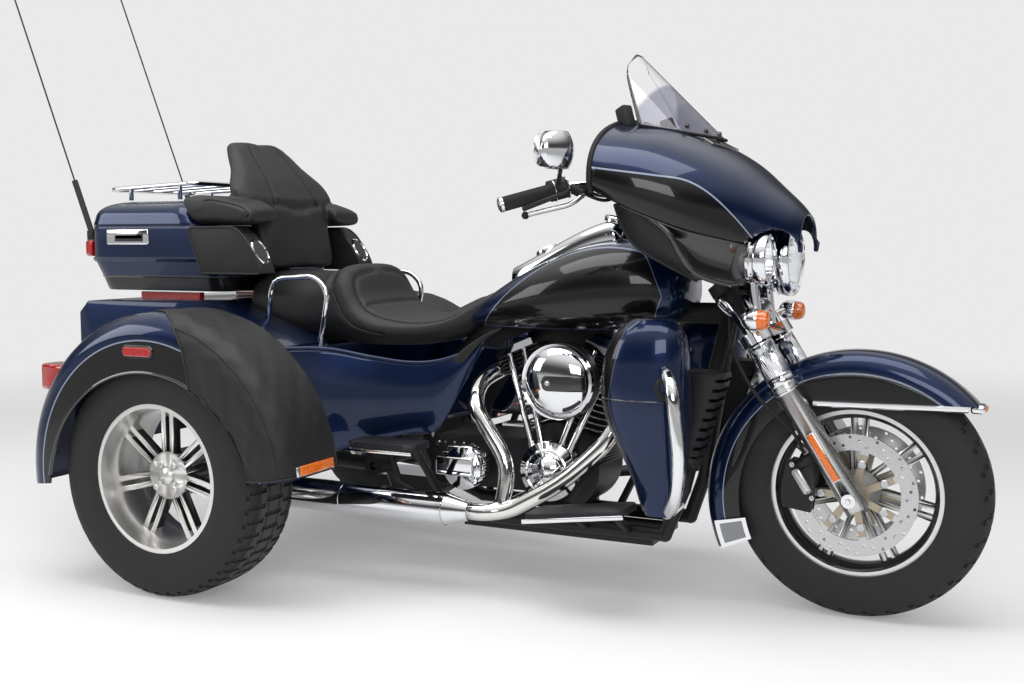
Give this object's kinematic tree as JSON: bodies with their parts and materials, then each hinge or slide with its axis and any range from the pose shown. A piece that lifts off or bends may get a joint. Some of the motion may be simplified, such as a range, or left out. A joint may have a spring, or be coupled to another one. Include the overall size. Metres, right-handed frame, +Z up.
{
  "type": "motorized trike",
  "caption": "Touring motor trike with a steered front wheel under a fork-mounted fairing, an air-cooled V-twin, two rear wheels under wide fenders, a trunk and a top case with a back pad.",
  "frame": {"origin": "on the ground at the middle of the overall box, on the centre plane", "axes": "+X forward, +Y to the rider's left, +Z up"},
  "size_m": [2.956, 1.39, 1.8122],
  "materials": {
    "blue_paint": "dark navy metallic, clear coat",
    "black_paint": "gloss black",
    "black_casting": "satin black with bright fin edges",
    "grey_casting": "cast",
    "chrome": "polished",
    "satin_aluminium": "satin, machined faces",
    "steel": "ground",
    "black_plastic": "moulded",
    "black_rubber": "ribbed",
    "tyre": "road tread",
    "black_leather": "stitched",
    "clear_screen": "clear, tinted low edge",
    "red_lens": "clear red",
    "amber_lens": "amber"
  },
  "bodies": {
    "chassis": {"frame": "black_paint", "engine_case": "grey_casting", "cylinders": "black_casting", "rocker_covers": "chrome", "pushrod_tubes": "chrome", "air_cleaner": "chrome", "engine_covers": "chrome", "exhaust_headers": "chrome", "mufflers": "chrome", "fuel_tank": "blue_paint", "tank_console": "chrome", "seat": "black_leather", "rear_body": "blue_paint", "side_covers": "blue_paint", "rear_fender_right": "blue_paint", "rear_fender_left": "blue_paint", "rear_axle": "grey_casting", "shock_absorbers": "black_rubber", "rider_footboards": "black_rubber", "passenger_footboards": "black_rubber", "engine_guard": "chrome", "leg_shields": "blue_paint", "radiators": "black_plastic", "skid_plate": "black_paint", "top_case": "blue_paint", "speaker_pods": "black_plastic", "rear_lamps": "red_lens", "aerials": "black_plastic", "grab_rails": "chrome"},
    "fork": {"fork_sliders": "satin_aluminium", "fork_tubes": "chrome", "triple_clamps": "black_paint", "front_axle": "steel", "handlebar": "chrome", "hand_controls": "black_plastic", "mirrors": "chrome", "fairing": "blue_paint", "dash": "black_plastic", "fairing_wings": "black_plastic", "windscreen": "clear_screen", "headlamps": "chrome", "turn_signals": "amber_lens", "front_fender": "blue_paint", "brake_calipers": "black_paint"},
    "front_wheel": {"front_rim": "satin_aluminium", "front_tyre": "tyre", "brake_discs": "steel"},
    "rear_wheel_right": {"rear_rim_right": "satin_aluminium", "rear_tyre_right": "tyre"},
    "rear_wheel_left": {"rear_rim_left": "satin_aluminium", "rear_tyre_left": "tyre"},
    "case_lid": {"case_lid": "blue_paint", "luggage_rack": "chrome", "backrest": "black_leather"},
    "trunk_door": {"trunk_door": "blue_paint"}
  },
  "joints": [
    {"name": "steering", "type": "hinge", "parent": "chassis", "child": "fork", "pos_m": [1.26, 0, 0], "axis": [-0.4384, 0, 0.8988], "range_deg": [-30, 30]},
    {"name": "front_wheel_spin", "type": "hinge", "parent": "fork", "child": "front_wheel", "pos_m": [1.16, 0, 0.318], "axis": [0, 1, 0], "continuous": true},
    {"name": "rear_wheel_right_spin", "type": "hinge", "parent": "chassis", "child": "rear_wheel_right", "pos_m": [-0.53, -0.572, 0.322], "axis": [0, 1, 0], "continuous": true},
    {"name": "rear_wheel_left_spin", "type": "hinge", "parent": "chassis", "child": "rear_wheel_left", "pos_m": [-0.53, 0.572, 0.322], "axis": [0, 1, 0], "continuous": true},
    {"name": "case_lid_hinge", "type": "hinge", "parent": "chassis", "child": "case_lid", "pos_m": [-0.865, 0.298, 0.986], "axis": [-1, 0, 0], "range_deg": [0, 75]},
    {"name": "trunk_door_hinge", "type": "hinge", "parent": "chassis", "child": "trunk_door", "pos_m": [-1.012, 0.355, 0.596], "axis": [0, 0, -1], "range_deg": [0, 100]}
  ]
}
